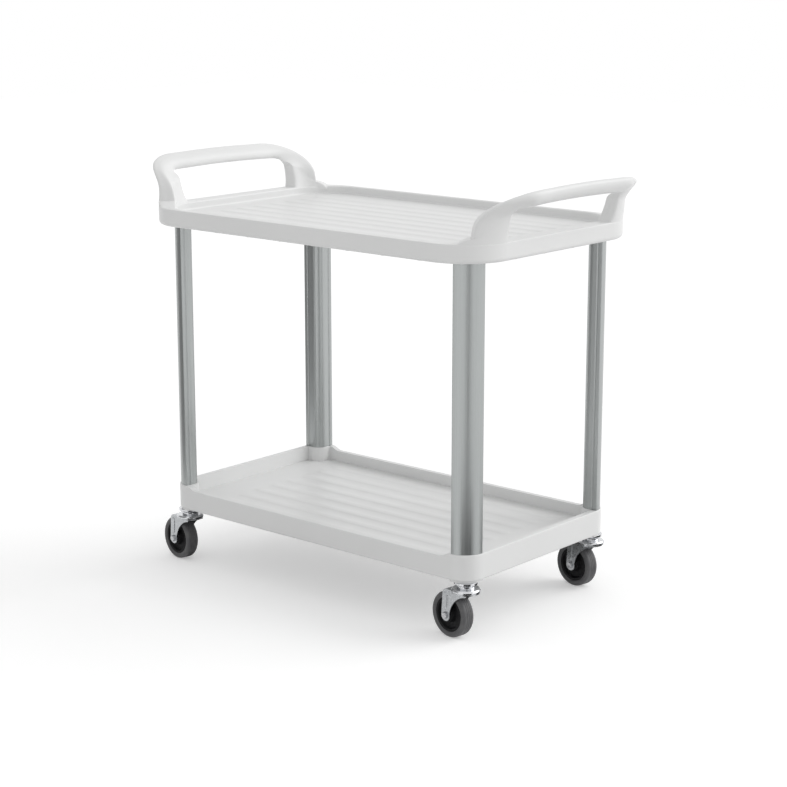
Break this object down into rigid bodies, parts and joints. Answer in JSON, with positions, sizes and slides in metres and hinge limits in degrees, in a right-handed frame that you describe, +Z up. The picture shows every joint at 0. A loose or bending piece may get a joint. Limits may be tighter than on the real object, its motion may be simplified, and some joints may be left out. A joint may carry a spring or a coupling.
{
  "type": "utility cart",
  "caption": "Rolling utility cart with ribbed white tray shelves, a raised loop handle at each end, round-fronted metal corner posts and swivel casters.",
  "frame": {"origin": "on the floor, under the middle of the cart", "axes": "+X along the length towards one handle, +Y across the depth, +Z up"},
  "size_m": [1.102, 0.6, 0.9635],
  "materials": {
    "shelf_plastic": "white moulded plastic, semi-gloss with a fine grain",
    "upright_aluminium": "satin extruded, fine lines along the length",
    "insert_plastic": "black moulded plastic",
    "plated_steel": "bright zinc plate",
    "fork_steel": "pressed steel, zinc plated",
    "ball_steel": "polished and greased",
    "fastener_steel": "zinc plated",
    "bush_plastic": "unpainted bearing plastic",
    "wheel_core_plastic": "black moulded plastic",
    "tyre_rubber": "dark grey rubber with fine tread rings"
  },
  "bodies": {
    "frame": {"top_shelf": "shelf_plastic", "bottom_shelf": "shelf_plastic", "upper_fixing_screws": "fastener_steel", "upright_front_left": "upright_aluminium", "stem_insert_front_left": "insert_plastic", "caster_stem_front_left": "plated_steel", "caster_cup_front_left": "plated_steel", "upright_front_right": "upright_aluminium", "stem_insert_front_right": "insert_plastic", "caster_stem_front_right": "plated_steel", "caster_cup_front_right": "plated_steel", "upright_rear_left": "upright_aluminium", "stem_insert_rear_left": "insert_plastic", "caster_stem_rear_left": "plated_steel", "caster_cup_rear_left": "plated_steel", "upright_rear_right": "upright_aluminium", "stem_insert_rear_right": "insert_plastic", "caster_stem_rear_right": "plated_steel", "caster_cup_rear_right": "plated_steel"},
    "swivel_front_left": {"caster_fork_front_left": "fork_steel", "caster_balls_front_left": "ball_steel", "caster_bolt_front_left": "fastener_steel", "caster_nut_front_left": "fastener_steel", "caster_sleeve_front_left": "fastener_steel"},
    "wheel_front_left": {"wheel_bush_front_left": "bush_plastic", "wheel_core_front_left": "wheel_core_plastic", "wheel_tyre_front_left": "tyre_rubber"},
    "swivel_front_right": {"caster_fork_front_right": "fork_steel", "caster_balls_front_right": "ball_steel", "caster_bolt_front_right": "fastener_steel", "caster_nut_front_right": "fastener_steel", "caster_sleeve_front_right": "fastener_steel"},
    "wheel_front_right": {"wheel_bush_front_right": "bush_plastic", "wheel_core_front_right": "wheel_core_plastic", "wheel_tyre_front_right": "tyre_rubber"},
    "swivel_rear_left": {"caster_fork_rear_left": "fork_steel", "caster_balls_rear_left": "ball_steel", "caster_bolt_rear_left": "fastener_steel", "caster_nut_rear_left": "fastener_steel", "caster_sleeve_rear_left": "fastener_steel"},
    "wheel_rear_left": {"wheel_bush_rear_left": "bush_plastic", "wheel_core_rear_left": "wheel_core_plastic", "wheel_tyre_rear_left": "tyre_rubber"},
    "swivel_rear_right": {"caster_fork_rear_right": "fork_steel", "caster_balls_rear_right": "ball_steel", "caster_bolt_rear_right": "fastener_steel", "caster_nut_rear_right": "fastener_steel", "caster_sleeve_rear_right": "fastener_steel"},
    "wheel_rear_right": {"wheel_bush_rear_right": "bush_plastic", "wheel_core_rear_right": "wheel_core_plastic", "wheel_tyre_rear_right": "tyre_rubber"}
  },
  "joints": [
    {"name": "front_left_swivel", "type": "hinge", "parent": "frame", "child": "swivel_front_left", "pos_m": [-0.4215, -0.2265, 0.11], "axis": [0, 0, 1], "continuous": true},
    {"name": "front_left_roll", "type": "hinge", "parent": "swivel_front_left", "child": "wheel_front_left", "pos_m": [-0.46111, -0.22093, 0.051], "axis": [0.1392, 0.9903, 0], "continuous": true},
    {"name": "front_right_swivel", "type": "hinge", "parent": "frame", "child": "swivel_front_right", "pos_m": [0.4215, -0.2265, 0.11], "axis": [0, 0, 1], "continuous": true},
    {"name": "front_right_roll", "type": "hinge", "parent": "swivel_front_right", "child": "wheel_front_right", "pos_m": [0.38189, -0.22093, 0.051], "axis": [0.1392, 0.9903, 0], "continuous": true},
    {"name": "rear_left_swivel", "type": "hinge", "parent": "frame", "child": "swivel_rear_left", "pos_m": [-0.4215, 0.2265, 0.11], "axis": [0, 0, 1], "continuous": true},
    {"name": "rear_left_roll", "type": "hinge", "parent": "swivel_rear_left", "child": "wheel_rear_left", "pos_m": [-0.46111, 0.23207, 0.051], "axis": [0.1392, 0.9903, 0], "continuous": true},
    {"name": "rear_right_swivel", "type": "hinge", "parent": "frame", "child": "swivel_rear_right", "pos_m": [0.4215, 0.2265, 0.11], "axis": [0, 0, 1], "continuous": true},
    {"name": "rear_right_roll", "type": "hinge", "parent": "swivel_rear_right", "child": "wheel_rear_right", "pos_m": [0.38189, 0.23207, 0.051], "axis": [0.1392, 0.9903, 0], "continuous": true}
  ]
}
